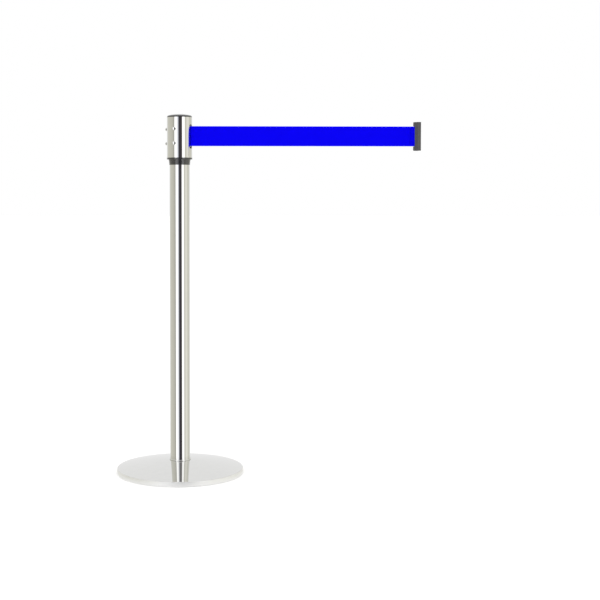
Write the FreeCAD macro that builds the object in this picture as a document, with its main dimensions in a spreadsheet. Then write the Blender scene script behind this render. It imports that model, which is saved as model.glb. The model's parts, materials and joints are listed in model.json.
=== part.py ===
import FreeCAD, Part
import math
import operator
import os
from types import SimpleNamespace

import Sketcher
from FreeCAD import Placement, Rotation, Vector

# Retractable belt stanchion: a weighted base, a tube, and a head with a sprung reel of webbing.
# The origin is on the floor under the post's axis and +Z points up. The belt mouth faces +X, and the
# receiver studs stand in pairs on the -Y, -X and +Y sides. The belt is drawn out, and leaves the
# mouth turned a little towards +Y. All lengths are in millimetres and all angles in degrees.

SIZES = {
    # base
    "base_radius": (160, "outer radius of the base cover"),
    "cover_wall": (1, "thickness of the base cover"),
    "cover_low": (0.6, "gap under the cover's rim"),
    "rim_top": (13, "height of the rim's shoulder"),
    "rim_round": (1.4, "radius of the rim's shoulder"),
    "dome_radius": (1200, "radius of the cover's slight dome"),
    "cover_top": (33, "height of the cover's flat middle, where the tube stands"),
    "land_radius": (28, "radius of that flat middle"),
    "cover_hole": (14, "radius of the hole in the cover"),
    "floor_ring_inner": (145, "inner radius of the rubber floor ring"),
    "floor_ring_outer": (157.5, "outer radius of the rubber floor ring"),
    "floor_ring_under": (3, "rubber under the weight"),
    "floor_ring_top": (9, "top of the rubber lip round the weight"),
    "weight_radius": (152.2, "outer radius of the cast weight"),
    "weight_rim_top": (12, "height of the weight at its edge"),
    "weight_bore": (6.6, "radius of the bolt hole in the weight"),
    "well_radius": (14.5, "radius of the bolt well under the weight"),
    "well_top": (17, "ceiling of the bolt well"),
    # base bolt
    "bolt_radius": (6, "base bolt"),
    "bolt_head_across": (21.9, "base bolt head, across corners"),
    "bolt_head_height": (7.5, "base bolt head"),
    "bolt_length": (43, "base bolt under its head"),
    "washer_radius": (12, "base washer"),
    "washer_thickness": (2.4, "base washer"),
    "lock_washer_radius": (10.2, "base lock washer"),
    "lock_washer_thickness": (2.6, "base lock washer"),
    "lock_washer_split": (1.6, "width of the split in the lock washer"),
    # tube and collar
    "tube_radius": (25.4, "outer radius of the post tube"),
    "tube_wall": (1.2, "wall of the post tube"),
    "tube_top": (782, "top of the post tube, where the collar starts"),
    "foot_ring_radius": (27.2, "outer radius of the foot ring"),
    "foot_ring_height": (3.2, "foot ring"),
    "foot_ring_round": (1.4, "rounded top edge of the foot ring"),
    "foot_ring_under": (1.1, "rounded lower edge of the foot ring"),
    "plug_radius": (24.1, "plugs in the tube"),
    "foot_plug_height": (30, "plug at the tube's foot"),
    "top_plug_low": (716, "underside of the plug at the tube's top"),
    "top_plug_height": (32, "plug at the tube's top"),
    "spigot_radius": (23.9, "collar's spigot in the tube"),
    "spigot_low": (752, "lower end of that spigot"),
    "neck_radius": (26.3, "collar at the tube"),
    "neck_waist_radius": (26.85, "collar where its fillet starts"),
    "neck_waist": (789, "height where the fillet starts"),
    "neck_root_radius": (28.5, "collar at the top of its fillet"),
    "neck_fillet": (13.6, "radius of the collar's fillet"),
    "flange_low": (795.5, "underside of the collar's flange"),
    "flange_radius": (32.25, "collar's flange"),
    "collar_bore": (5.4, "hole through the collar and the cassette"),
    # head
    "head_low": (800, "top of the collar's flange, where the shell stands"),
    "head_top": (901.5, "top of the shell"),
    "head_radius": (31.75, "outer radius of the shell"),
    "head_wall": (1.2, "wall of the shell"),
    "seat_radius": (30.2, "round parts that fit inside the shell"),
    "seat_height": (3, "collar's spigot in the shell"),
    "belt_width": (50, "webbing"),
    "belt_thickness": (0.8, "webbing"),
    "belt_middle": (854, "height of the belt's centre line"),
    "slot_half_width": (6, "half the width of the slot in the shell"),
    "slot_low": (823, "lower end of the slot"),
    "slot_high": (883, "upper end of the slot"),
    "slot_round": (2.5, "corner radius of the slot"),
    "stud_spacing": (36, "height between the two studs of a pair"),
    "stud_tail_start": (27.9, "inner end of a stud, from the post's axis"),
    "stud_tail_radius": (1.5, "stud's threaded tail"),
    "stud_neck_radius": (2.2, "stud's neck"),
    "stud_head_start": (36.2, "underside of a stud's head, from the post's axis"),
    "stud_head_end": (38.2, "end of the head's round side, from the post's axis"),
    "stud_tip": (38.9, "tip of the head's crown, from the post's axis"),
    "stud_tip_radius": (0.6, "flat at that tip"),
    "stud_head_radius": (4, "stud's head"),
    "stud_crown": (11.8, "radius of the head's crown"),
    # cassette
    "plate_thickness": (3, "floor of the cassette frame"),
    "pillar_inner": (27, "inner radius of the cassette's pillars"),
    "pillar_half_width": (6.5, "half the width of a pillar"),
    "cassette_top_low": (886, "underside of the cassette's top plate"),
    "cassette_top_thickness": (2.4, "cassette's top plate"),
    "screw_circle": (28.6, "radius of the circle of the cassette screws"),
    "screw_radius": (1.1, "cassette screws"),
    "screw_head_radius": (1.8, "cassette screws"),
    "screw_head_height": (1.4, "cassette screws"),
    "screw_length": (10, "cassette screws under their heads"),
    # spindle
    "spindle_low": (720, "lower end of the spindle, in the top plug"),
    "spindle_thread_radius": (5, "threaded part of the spindle"),
    "shoulder_radius": (9, "spindle's shoulder"),
    "shoulder_height": (2.8, "spindle's shoulder"),
    "journal_radius": (4, "spindle where the reel turns"),
    "spindle_top": (891.5, "upper end of the spindle"),
    "groove_low": (889, "groove for the retaining ring"),
    "groove_height": (0.8, "groove for the retaining ring"),
    "groove_radius": (3.4, "groove for the retaining ring"),
    "clamp_washer_radius": (10.5, "washer under the shoulder"),
    "clamp_washer_thickness": (1.2, "washer under the shoulder"),
    "clip_ring_radius": (6.5, "retaining ring"),
    "clip_ring_mouth": (5, "width of the retaining ring's mouth"),
    # reel
    "reel_radius": (26.4, "flanges of the reel"),
    "flange_thickness": (2, "flanges of the reel"),
    "flange_gap": (0.6, "room between the belt's edge and a flange"),
    "hub_radius": (12, "drum that the belt is wound on"),
    "hub_bore": (6.5, "bore of the drum"),
    "bush_bore": (4.05, "bushes that turn on the spindle"),
    "bush_length": (10, "bushes"),
    "bush_rise": (3, "upper bush above the upper flange"),
    "wound_radius": (22.6, "outside of the wound belt when it is drawn out as modelled"),
    "anchor_offset": (9.2, "belt's anchor rod, from the axis"),
    "anchor_radius": (1.1, "belt's anchor rod"),
    "case_radius": (26.2, "spring case"),
    "case_wall": (1, "spring case"),
    "case_low": (811.2, "underside of the spring case"),
    "case_bore": (4.6, "holes of the spring case and its cover"),
    "case_cover": (1.2, "spring case's cover"),
    "thrust_thickness": (0.9, "thrust washer"),
    "spring_inner": (7, "inner radius of the power spring"),
    "spring_thickness": (0.5, "power spring"),
    "spring_pitch": (2, "from turn to turn of the power spring"),
    "spring_end_gap": (0.8, "room above and below the power spring"),
    # mouth
    "mouth_x": (28.6, "line where the belt turns between the guide pins, from the axis"),
    "bezel_back": (27.2, "inner face of the mouth bezel, from the axis"),
    "bezel_front": (31.6, "radius of the bezel's outer face"),
    "bezel_flange_radius": (30.4, "radius of the bezel's flange behind the shell"),
    "bezel_flange_half": (8.5, "half the width of that flange"),
    "bezel_flange_lap": (2.5, "flange beyond the slot, above and below"),
    "bezel_gap": (0.15, "room between bezel and slot"),
    "opening_half": (5, "half the width of the bezel's opening"),
    "opening_margin": (2.2, "opening beyond the belt's edges"),
    "guide_offset": (2.8, "guide pins, from the middle of the mouth"),
    "guide_radius": (1, "guide pins"),
    "guide_length": (59.6, "guide pins"),
    "fit_gap": (0.05, "radial room round a fixed pin or screw"),
    # cap
    "cap_radius": (32, "top cap"),
    "cap_edge": (5, "radius of the cap's edge"),
    "cap_edge_in": (3.72, "how far the edge runs in"),
    "cap_edge_up": (4.83, "how far the edge runs up"),
    "cap_crown": (110.7, "radius of the cap's crown"),
    "cap_top": (910, "top of the cap"),
    "cap_wall": (2.2, "cap"),
    "cap_skirt_low": (893, "lower end of the cap's skirt"),
    "cap_inner_bevel": (1.7, "bevel inside the cap, at its edge"),
    "cap_inner_rise": (3, "top of that bevel above the shell"),
    # belt outside the head
    "belt_angle": (26, "belt from +X, towards +Y"),
    "pin_reach": (568.9, "from the mouth's turning line to the clip's pin"),
    "loop_inner": (1.35, "sewn loop round the pin"),
    "loop_root": (2, "where the loop's two layers meet"),
    "seam_length": (11, "sewn double layer, from the pin"),
    "seam_gap": (0.3, "between the seam's end and the single belt"),
    "mouth_clear": (0.5, "single belt starts this far outside the turning line"),
    "feed_gap": (0.35, "between the wound belt and the belt that leaves it"),
    # clip
    "clip_angle": (35, "clip's normal from +X, towards +Y"),
    "clip_height": (72, "clip"),
    "clip_half_width": (11.5, "half the clip's width"),
    "ear_radius": (4.4, "ears round the pin"),
    "ear_corner": (3, "rounded upper and lower corners of the ears"),
    "shoulder_depth": (4.2, "where the ears' sides reach the full width, from the pin"),
    "clip_face": (7.9, "back of the hook plate, from the pin"),
    "hook_depth": (10.1, "middle of the hook face, from the pin"),
    "hook_edge": (12.22, "edges of the hook face, from the pin"),
    "hook_radius": (32.2, "hollow radius of the hook face"),
    "ear_gap": (52, "room between the ears for the belt"),
    "cheek_reach": (1.5, "cheeks beside the belt's loop, from the pin towards the belt"),
    "pin_room_half": (2.75, "half the width of the room for the belt's loop"),
    "rear_wall_start": (2.5, "clip's rear wall, from the pin"),
    "rear_wall_end": (3.7, "clip's rear wall, from the pin"),
    "cavity_half_width": (9.5, "hollow behind the hook plate"),
    "cavity_height": (62, "hollow behind the hook plate"),
    "pin_radius": (1.25, "clip's pin"),
    "pin_length": (71, "clip's pin"),
    "keyhole_radius": (4.6, "round part of a keyhole"),
    "keyhole_slot": (2.5, "half the width of a keyhole's slot"),
    "keyhole_drop": (7.8, "round part below the slot's end"),
    "hook_screw_radius": (0.9, "screws of the hook plate"),
    "hook_screw_head": (1.7, "screws of the hook plate"),
    "hook_screw_start": (4.5, "inner ends of those screws, from the pin"),
    "hook_screw_seat": (8.7, "underside of their heads, from the pin"),
    "hook_screw_end": (9.9, "their heads' faces, from the pin"),
    "hook_screw_height": (33.5, "those screws above and below the clip's middle"),
    # small gaps that many parts share
    "slip_gap": (0.15, "radial room between parts that slip together"),
    "bolt_gap": (0.3, "radial room round a bolt in a plain hole"),
    "end_room": (0.5, "room past the end of a pin, screw or rod"),
    "past": (1, "how far a cutter reaches past the face it cuts"),
}

TINY = 1e-6
# a sketch's own axes, as its constraints number them
H_AXIS = -1
V_AXIS = -2
doc = FreeCAD.newDocument("belt_stanchion")
sub_parts = []


class Size:
    """A number together with the sheet formula that gives it."""

    def __init__(self, value, formula):
        self.value = value
        self.formula = formula

    def joined(self, other, sign, work):
        other = sized(other)
        return Size(work(self.value, other.value), f"({self.formula} {sign} {other.formula})")

    def __add__(self, other):
        return self.joined(other, "+", operator.add)

    def __sub__(self, other):
        return self.joined(other, "-", operator.sub)

    def __mul__(self, other):
        return self.joined(other, "*", operator.mul)

    def __truediv__(self, other):
        return self.joined(other, "/", operator.truediv)

    def __neg__(self):
        return Size(-self.value, f"(0 - {self.formula})")


def sized(number):
    """A Size as it is, and a plain number as a Size."""
    return number if isinstance(number, Size) else Size(float(number), str(number))


def fill_sheet():
    """Writes every driving size into the sheet, and returns them under their names."""
    sheet = doc.addObject("Spreadsheet::Sheet", "Sizes")
    for row, (alias, (value, note)) in enumerate(SIZES.items(), 1):
        sheet.set(f"A{row}", note)
        sheet.set(f"B{row}", str(value))
        sheet.setAlias(f"B{row}", alias)
    doc.recompute()
    return SimpleNamespace(**{a: Size(value, f"Sizes.{a}") for a, (value, note) in SIZES.items()})


size = fill_sheet()


def bind(thing, name, number):
    """Sets one property from a size, and ties it to the sheet."""
    number = sized(number)
    thing.setExpression(name, number.formula)


def place(thing, x=0, y=0, z=0, turn=0, axis=Vector(0, 0, 1)):
    """Puts a thing at a point, turned about an axis, and ties each number to the sheet."""
    x, y, z, turn = sized(x), sized(y), sized(z), sized(turn)
    spot = Vector(x.value, y.value, z.value)
    thing.Placement = Placement(spot, Rotation(axis, turn.value))
    for name, number in (("x", x), ("y", y), ("z", z)):
        bind(thing, f"Placement.Base.{name}", number)
    if turn.value:
        bind(thing, "Placement.Rotation.Angle", turn)
    return thing


def keep(thing, label):
    """Takes a finished thing as the sub-part with this label."""
    thing.Label = label
    sub_parts.append(thing)
    return thing


# Sketched bodies


def new_body(label):
    return keep(doc.addObject("PartDesign::Body", label), label)


def new_sketch(body, role, lift=0):
    """A sketch on one of the body's own origin planes, lifted along the plane's normal."""
    sketch = body.newObject("Sketcher::SketchObject", f"{body.Name}_sketch")
    plane = next(found for found in body.Origin.OriginFeatures if found.Role == role)
    sketch.AttachmentSupport = [(plane, "")]
    sketch.MapMode = "FlatFace"
    bind(sketch, "AttachmentOffset.Base.z", lift)
    return sketch


def tie_point(sketch, edge, end, x, y):
    """Ties one point of a sketch to its two coordinates."""
    for kind, axis, number in (("DistanceX", V_AXIS, x), ("DistanceY", H_AXIS, y)):
        if number.value == 0:
            sketch.addConstraint(Sketcher.Constraint("PointOnObject", edge, end, axis))
            continue
        rule = Sketcher.Constraint(kind, -1, 1, edge, end, number.value)
        tied = sketch.addConstraint(rule)
        bind(sketch, f"Constraints[{tied}]", number)


def tie_radius(sketch, edge, radius):
    tied = sketch.addConstraint(Sketcher.Constraint("Radius", edge, radius.value))
    bind(sketch, f"Constraints[{tied}]", radius)


def tie_arc(sketch, edge, radius, pole_on):
    """Ties an arc whose ends are already tied.

    A half circle has its centre between its ends, and an arc with an end on the turning axis,
    pole_on, has its centre on that axis. Any other arc has its radius.
    """
    ends = [sketch.getPoint(edge, 1), sketch.getPoint(edge, 2)]
    from_axis = [abs(end.x if pole_on == V_AXIS else end.y) for end in ends]
    if abs(ends[0].distanceToPoint(ends[1]) - 2 * abs(radius.value)) < TINY:
        sketch.addConstraint(Sketcher.Constraint("Symmetric", edge, 1, edge, 2, edge, 3))
    elif pole_on is not None and min(from_axis) < TINY:
        sketch.addConstraint(Sketcher.Constraint("PointOnObject", edge, 3, pole_on))
    else:
        tie_radius(sketch, edge, radius if radius.value > 0 else -radius)


def arc_between(start, end, radius):
    """The short arc between two points. Its centre is on the left for a positive radius."""
    chord = end - start
    half = chord.Length / 2
    rise = abs(radius) - math.sqrt(max(radius * radius - half * half, 0))
    left = Vector(-chord.y, chord.x, 0).normalize()
    middle = (start + end) / 2 - left * math.copysign(rise, radius)
    return Part.Arc(start, middle, end)


def outline(sketch, corners, pole_on=None):
    """A closed outline. A corner is (x, y), or (x, y, radius) where an arc leaves it."""
    spots = [(sized(corner[0]), sized(corner[1])) for corner in corners]
    ends = []
    for number, corner in enumerate(corners):
        x, y = spots[number]
        next_x, next_y = spots[(number + 1) % len(spots)]
        start = Vector(x.value, y.value, 0)
        end = Vector(next_x.value, next_y.value, 0)
        if len(corner) == 2:
            edge = sketch.addGeometry(Part.LineSegment(start, end))
        else:
            edge = sketch.addGeometry(arc_between(start, end, corner[2].value))
        first = 1 if sketch.getPoint(edge, 1).distanceToPoint(start) < TINY else 2
        ends.append((edge, first))
    for number, (edge, first) in enumerate(ends):
        following, its_first = ends[(number + 1) % len(ends)]
        rule = Sketcher.Constraint("Coincident", edge, 3 - first, following, its_first)
        sketch.addConstraint(rule)
        tie_point(sketch, edge, first, *spots[number])
        if len(corners[number]) == 3:
            tie_arc(sketch, edge, corners[number][2], pole_on)


def circle(sketch, x, y, radius):
    x, y, radius = sized(x), sized(y), sized(radius)
    ring = Part.Circle(Vector(x.value, y.value, 0), Vector(0, 0, 1), radius.value)
    edge = sketch.addGeometry(ring)
    if x.value == 0 and y.value == 0:
        sketch.addConstraint(Sketcher.Constraint("Coincident", edge, 3, -1, 1))
    else:
        tie_point(sketch, edge, 3, x, y)
    tie_radius(sketch, edge, radius)


def rectangle(sketch, x_low, y_low, x_high, y_high):
    outline(sketch, [(x_low, y_low), (x_high, y_low), (x_high, y_high), (x_low, y_high)])


def turned(label, corners):
    """A body of revolution about Z, from its outline in (radius, height)."""
    body = new_body(label)
    sketch = new_sketch(body, "XZ_Plane")
    outline(sketch, corners, pole_on=V_AXIS)
    turn = body.newObject("PartDesign::Revolution", f"{label}_turn")
    turn.Profile = sketch
    turn.ReferenceAxis = (sketch, ["V_Axis"])
    turn.Angle = 360
    return body


def ring(label, inner, outer, low, high):
    """A plain turned ring."""
    return turned(label, [(inner, low), (outer, low), (outer, high), (inner, high)])


def pad(body, sketch, length):
    feature = body.newObject("PartDesign::Pad", f"{body.Name}_pad")
    feature.Profile = sketch
    bind(feature, "Length", length)
    doc.recompute()
    return feature


def pocket(body, sketch, length=None, both=False, forward=False):
    """Cuts a sketch out of a body: to a length or right through, on one side or both."""
    before = body.Shape.Volume
    feature = body.newObject("PartDesign::Pocket", f"{body.Name}_pocket")
    feature.Profile = sketch
    feature.Reversed = forward
    feature.Midplane = both
    if length is None:
        feature.Type = "ThroughAll"
    else:
        bind(feature, "Length", length)
    doc.recompute()
    if not body.Shape.Volume < before - TINY:
        raise RuntimeError(f"a pocket of {body.Label} cuts nothing")
    return feature


# Primitives and booleans


def rod(name, radius, length, **spot):
    cylinder = doc.addObject("Part::Cylinder", name)
    bind(cylinder, "Radius", radius)
    bind(cylinder, "Height", length)
    return place(cylinder, **spot)


def block(name, x_low, x_high, y_low, y_high, z_low, z_high):
    box = doc.addObject("Part::Box", name)
    for side, low, high in (
        ("Length", x_low, x_high),
        ("Width", y_low, y_high),
        ("Height", z_low, z_high),
    ):
        bind(box, side, sized(high) - low)
    return place(box, x=x_low, y=y_low, z=z_low)


def combined(kind, name, things):
    """Part::MultiFuse, Part::MultiCommon or Part::Compound of several things."""
    result = doc.addObject(kind, name)
    setattr(result, "Links" if kind == "Part::Compound" else "Shapes", things)
    return result


def cut(name, base, *tools):
    result = doc.addObject("Part::Cut", name)
    result.Base = base
    if len(tools) == 1:
        result.Tool = tools[0]
    else:
        result.Tool = combined("Part::MultiFuse", f"{name}_tools", list(tools))
    return result


belt_low = size.belt_middle - size.belt_width / 2
belt_high = size.belt_middle + size.belt_width / 2
half_belt = size.belt_thickness / 2
stud_low = size.belt_middle - size.stud_spacing / 2
clip_low = size.belt_middle - size.clip_height / 2
under_cover = size.cover_top - size.cover_wall
frame_low = size.head_low + size.seat_height
frame_top = frame_low + size.plate_thickness
SIDES = {"front": -90, "left": 180, "back": 90}


# Base


def make_base():
    wall_radius = size.base_radius - size.cover_wall
    shoulder = size.base_radius - size.rim_round
    shoulder_low = size.rim_top - size.rim_round
    turned(
        "base_cover",
        [
            (size.base_radius, size.cover_low),
            (size.base_radius, shoulder_low, size.rim_round),
            (shoulder, size.rim_top, size.dome_radius),
            (size.land_radius, size.cover_top),
            (size.cover_hole, size.cover_top),
            (size.cover_hole, under_cover),
            (size.land_radius, under_cover, size.cover_wall - size.dome_radius),
            (shoulder, size.rim_top - size.cover_wall, size.cover_wall - size.rim_round),
            (wall_radius, shoulder_low),
            (wall_radius, size.cover_low),
        ],
    )
    turned(
        "base_weight",
        [
            (size.weight_bore, size.well_top),
            (size.well_radius, size.well_top),
            (size.well_radius, size.floor_ring_under),
            (size.weight_radius, size.floor_ring_under),
            (size.weight_radius, size.weight_rim_top),
            (size.land_radius, under_cover),
            (size.weight_bore, under_cover),
        ],
    )
    lip = size.weight_radius + size.slip_gap
    turned(
        "floor_ring",
        [
            (size.floor_ring_inner, 0),
            (size.floor_ring_outer, 0),
            (size.floor_ring_outer, size.floor_ring_top),
            (lip, size.floor_ring_top),
            (lip, size.floor_ring_under),
            (size.floor_ring_inner, size.floor_ring_under),
        ],
    )


def make_base_bolt():
    washer_low = size.well_top - size.washer_thickness
    lock_low = washer_low - size.lock_washer_thickness
    head_low = lock_low - size.bolt_head_height
    clear = size.bolt_radius + size.bolt_gap
    ring("base_washer", clear, size.washer_radius, washer_low, size.well_top)
    disc = rod("lock_disc", size.lock_washer_radius, size.lock_washer_thickness, z=lock_low)
    eye = rod("lock_eye", clear, size.lock_washer_thickness, z=lock_low)
    half = size.lock_washer_split / 2
    split = block("lock_split", 0, size.washer_radius, -half, half, lock_low, washer_low)
    keep(cut("lock_washer", disc, eye, split), "base_lock_washer")
    head = doc.addObject("Part::Prism", "bolt_head")
    head.Polygon = 6
    bind(head, "Circumradius", size.bolt_head_across / 2)
    bind(head, "Height", size.bolt_head_height)
    place(head, z=head_low)
    shank = rod("bolt_shank", size.bolt_radius, size.bolt_length, z=lock_low)
    keep(combined("Part::MultiFuse", "bolt", [head, shank]), "base_bolt")


# Tube, plugs and collar


def make_post():
    ring("post_tube", size.tube_radius - size.tube_wall, size.tube_radius, size.cover_top, size.tube_top)
    ring_bore = size.tube_radius + size.slip_gap
    ring_top = size.cover_top + size.foot_ring_height
    turned(
        "foot_ring",
        [
            (ring_bore, size.cover_top),
            (size.foot_ring_radius - size.foot_ring_under, size.cover_top, size.foot_ring_under),
            (size.foot_ring_radius, size.cover_top + size.foot_ring_under),
            (size.foot_ring_radius, ring_top - size.foot_ring_round, size.foot_ring_round),
            (size.foot_ring_radius - size.foot_ring_round, ring_top),
            (ring_bore, ring_top),
        ],
    )
    foot_top = size.cover_top + size.foot_plug_height
    ring("foot_plug", size.bolt_radius + size.fit_gap, size.plug_radius, size.cover_top, foot_top)
    plug_top = size.top_plug_low + size.top_plug_height
    plug_bore = size.spindle_thread_radius + size.fit_gap
    ring("top_plug", plug_bore, size.plug_radius, size.top_plug_low, plug_top)
    turned(
        "neck_collar",
        [
            (size.collar_bore, size.spigot_low),
            (size.spigot_radius, size.spigot_low),
            (size.spigot_radius, size.tube_top),
            (size.neck_radius, size.tube_top),
            (size.neck_waist_radius, size.neck_waist, -size.neck_fillet),
            (size.neck_root_radius, size.flange_low),
            (size.flange_radius, size.flange_low),
            (size.flange_radius, size.head_low),
            (size.seat_radius, size.head_low),
            (size.seat_radius, frame_low),
            (size.collar_bore, frame_low),
        ],
    )


# Spindle and cassette


def make_spindle():
    washer_top = frame_top + size.clamp_washer_thickness
    shoulder_top = washer_top + size.shoulder_height
    groove_top = size.groove_low + size.groove_height
    turned(
        "spindle",
        [
            (0, size.spindle_low),
            (size.spindle_thread_radius, size.spindle_low),
            (size.spindle_thread_radius, washer_top),
            (size.shoulder_radius, washer_top),
            (size.shoulder_radius, shoulder_top),
            (size.journal_radius, shoulder_top),
            (size.journal_radius, size.groove_low),
            (size.groove_radius, size.groove_low),
            (size.groove_radius, groove_top),
            (size.journal_radius, groove_top),
            (size.journal_radius, size.spindle_top),
            (0, size.spindle_top),
        ],
    )
    washer_bore = size.spindle_thread_radius + size.bolt_gap
    ring("spindle_washer", washer_bore, size.clamp_washer_radius, frame_top, washer_top)
    thrust_top = shoulder_top + size.thrust_thickness
    ring("thrust_washer", size.bush_bore, size.shoulder_radius, shoulder_top, thrust_top)
    clip_low_face = size.groove_low + size.fit_gap
    thickness = size.groove_height - size.fit_gap * 2
    disc = rod("clip_disc", size.clip_ring_radius, thickness, z=clip_low_face)
    eye = rod("clip_eye", size.groove_radius + size.fit_gap, thickness, z=clip_low_face)
    half = size.clip_ring_mouth / 2
    mouth = block("clip_mouth", 0, size.shoulder_radius, -half, half, clip_low_face, groove_top)
    keep(cut("retaining_ring", disc, eye, mouth), "spindle_clip")


def side_rods(name, radius, x, length, heights):
    """Rods that stand out from the post's axis on the three stud sides, at each height."""
    rods = []
    for side, angle in SIDES.items():
        for number, height in enumerate(heights):
            stem = doc.addObject("Part::Cylinder", f"{name}_{side}_{number}")
            bind(stem, "Radius", radius)
            bind(stem, "Height", length)
            outward = Rotation(Vector(0, 0, 1), angle)
            lying = outward.multiply(Rotation(Vector(0, 1, 0), 90))
            start = outward.multVec(Vector(1, 0, 0)) * sized(x).value
            stem.Placement = Placement(start + Vector(0, 0, height.value), lying)
            rods.append(stem)
    return rods


def standing_rods(name, radius, length, low):
    """Upright rods on the screw circle, one on each stud side."""
    rods = []
    for side, angle in SIDES.items():
        across = round(math.cos(math.radians(angle)))
        along = round(math.sin(math.radians(angle)))
        spot = {"x": size.screw_circle * across, "y": size.screw_circle * along, "z": low}
        rods.append(rod(f"{name}_{side}", radius, length, **spot))
    return rods


def make_cassette():
    pillar_height = size.cassette_top_low - frame_low
    plate = rod("frame_plate", size.seat_radius, size.plate_thickness, z=frame_low)
    barrel = rod("frame_barrel", size.seat_radius, pillar_height, z=frame_low)
    hollow = rod("frame_hollow", size.pillar_inner, pillar_height, z=frame_low)
    wall = cut("frame_wall", barrel, hollow)
    half = size.pillar_half_width
    far = size.head_radius
    across = block("frame_across", -half, half, -far, far, frame_low, size.cassette_top_low)
    behind = block("frame_behind", -far, 0, -half, half, frame_low, size.cassette_top_low)
    cross = combined("Part::MultiFuse", "frame_cross", [across, behind])
    pillars = combined("Part::MultiCommon", "frame_pillars", [wall, cross])
    solid = combined("Part::MultiFuse", "frame_solid", [plate, pillars])
    bore = rod("frame_bore", size.collar_bore, size.plate_thickness, z=frame_low)
    tail_hole = size.stud_tail_radius + size.fit_gap
    heights = [stud_low, stud_low + size.stud_spacing]
    hole_start = size.stud_tail_start - size.end_room
    hole_length = size.head_radius - hole_start
    stud_holes = side_rods("stud_hole", tail_hole, hole_start, hole_length, heights)
    screw_bottom = size.cassette_top_low + size.cassette_top_thickness - size.screw_length
    screw_hole = size.screw_radius + size.fit_gap
    hole_low = screw_bottom - size.end_room
    hole_depth = size.cassette_top_low - hole_low
    screw_holes = standing_rods("screw_hole", screw_hole, hole_depth, hole_low)
    keep(cut("frame", solid, bore, *stud_holes, *screw_holes), "cassette_frame")

    top_low = size.cassette_top_low
    lid = rod("lid_disc", size.seat_radius, size.cassette_top_thickness, z=top_low)
    eye = rod("lid_eye", size.bush_bore, size.cassette_top_thickness, z=top_low)
    lid_hole = size.screw_radius + size.slip_gap
    lid_holes = standing_rods("lid_hole", lid_hole, size.cassette_top_thickness, top_low)
    keep(cut("lid", lid, eye, *lid_holes), "cassette_top")

    top_face = top_low + size.cassette_top_thickness
    heads = standing_rods("screw_head", size.screw_head_radius, size.screw_head_height, top_face)
    shanks = standing_rods("screw_shank", size.screw_radius, size.screw_length, screw_bottom)
    screws = [
        combined("Part::MultiFuse", f"screw_{number}", list(pair))
        for number, pair in enumerate(zip(heads, shanks))
    ]
    keep(combined("Part::Compound", "screws", screws), "cassette_screws")


# Reel


def make_reel():
    lower_top = belt_low - size.flange_gap
    lower_low = lower_top - size.flange_thickness
    upper_low = belt_high + size.flange_gap
    upper_top = upper_low + size.flange_thickness
    ring("spool_flange_lower", size.hub_bore, size.reel_radius, lower_low, lower_top)
    ring("spool_flange_upper", size.hub_bore, size.reel_radius, upper_low, upper_top)

    drum = rod("drum", size.hub_radius, upper_low - lower_top, z=lower_top)
    bore = rod("drum_bore", size.hub_bore, upper_low - lower_top, z=lower_top)
    seat_radius = size.anchor_radius + half_belt
    offset = -size.anchor_offset
    half = half_belt + size.slip_gap
    seat = rod("rod_seat", seat_radius, size.belt_width, x=offset, z=belt_low)
    slit = block("rod_slit", -size.reel_radius, offset, -half, half, belt_low, belt_high)
    keep(cut("hub", drum, bore, seat, slit), "spool_hub")
    anchor_low = belt_low + size.end_room
    anchor_length = size.belt_width - size.end_room * 2
    anchor = rod("anchor", size.anchor_radius, anchor_length, x=offset, z=anchor_low)
    keep(anchor, "belt_anchor_rod")
    ring("wound_belt", size.hub_radius + size.slip_gap, size.wound_radius, belt_low, belt_high)

    bushes = []
    for name, low in (("lower", lower_low), ("upper", upper_top + size.bush_rise - size.bush_length)):
        sleeve = rod(f"{name}_sleeve", size.hub_bore - size.fit_gap, size.bush_length, z=low)
        hole = rod(f"{name}_hole", size.bush_bore, size.bush_length, z=low)
        bushes.append(cut(f"{name}_bush", sleeve, hole))
    keep(combined("Part::Compound", "bushes", bushes), "spool_bushes")

    cover_low = lower_low - size.case_cover
    floor_top = size.case_low + size.case_wall
    turned(
        "spring_case",
        [
            (size.case_bore, size.case_low),
            (size.case_radius, size.case_low),
            (size.case_radius, cover_low),
            (size.case_radius - size.case_wall, cover_low),
            (size.case_radius - size.case_wall, floor_top),
            (size.case_bore, floor_top),
        ],
    )
    ring("spring_cover", size.case_bore, size.case_radius, cover_low, lower_low)
    make_power_spring(floor_top + size.spring_end_gap, cover_low - size.spring_end_gap)


def spiral_side(radius, step, half_turns):
    """Half-circle arcs that grow by one step each and join into a spiral, from (radius, 0)."""
    edges = []
    start = Vector(radius, 0, 0)
    for number in range(half_turns):
        sign = -1 if number % 2 == 0 else 1
        reach = radius + number * step
        middle_x = start.x + sign * reach
        top = Vector(middle_x, -sign * reach, 0)
        end = Vector(middle_x + sign * reach, 0, 0)
        edges.append(Part.Arc(start, top, end).toShape())
        start = end
    return edges, start


def make_power_spring(low, high):
    """Flat spiral strip, as one face between two spirals of half circles, drawn up to its width."""
    inner = size.spring_inner.value
    thickness = size.spring_thickness.value
    step = size.spring_pitch.value / 2
    room = size.case_radius.value - size.case_wall.value - inner - 2 * thickness
    half_turns = 2 * int(room / size.spring_pitch.value) - 1
    inside, inside_end = spiral_side(inner, step, half_turns)
    outside, outside_end = spiral_side(inner + thickness, step, half_turns)
    caps = [
        Part.LineSegment(Vector(inner, 0, 0), Vector(inner + thickness, 0, 0)).toShape(),
        Part.LineSegment(inside_end, outside_end).toShape(),
    ]
    wire = Part.Wire(Part.__sortEdges__(inside + outside + caps))
    strip = Part.Face(wire).extrude(Vector(0, 0, high.value - low.value))
    spring = doc.addObject("Part::Feature", "power_spring")
    spring.Shape = strip
    place(keep(spring, "power_spring"), z=low)


# Head shell, mouth and studs


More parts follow.
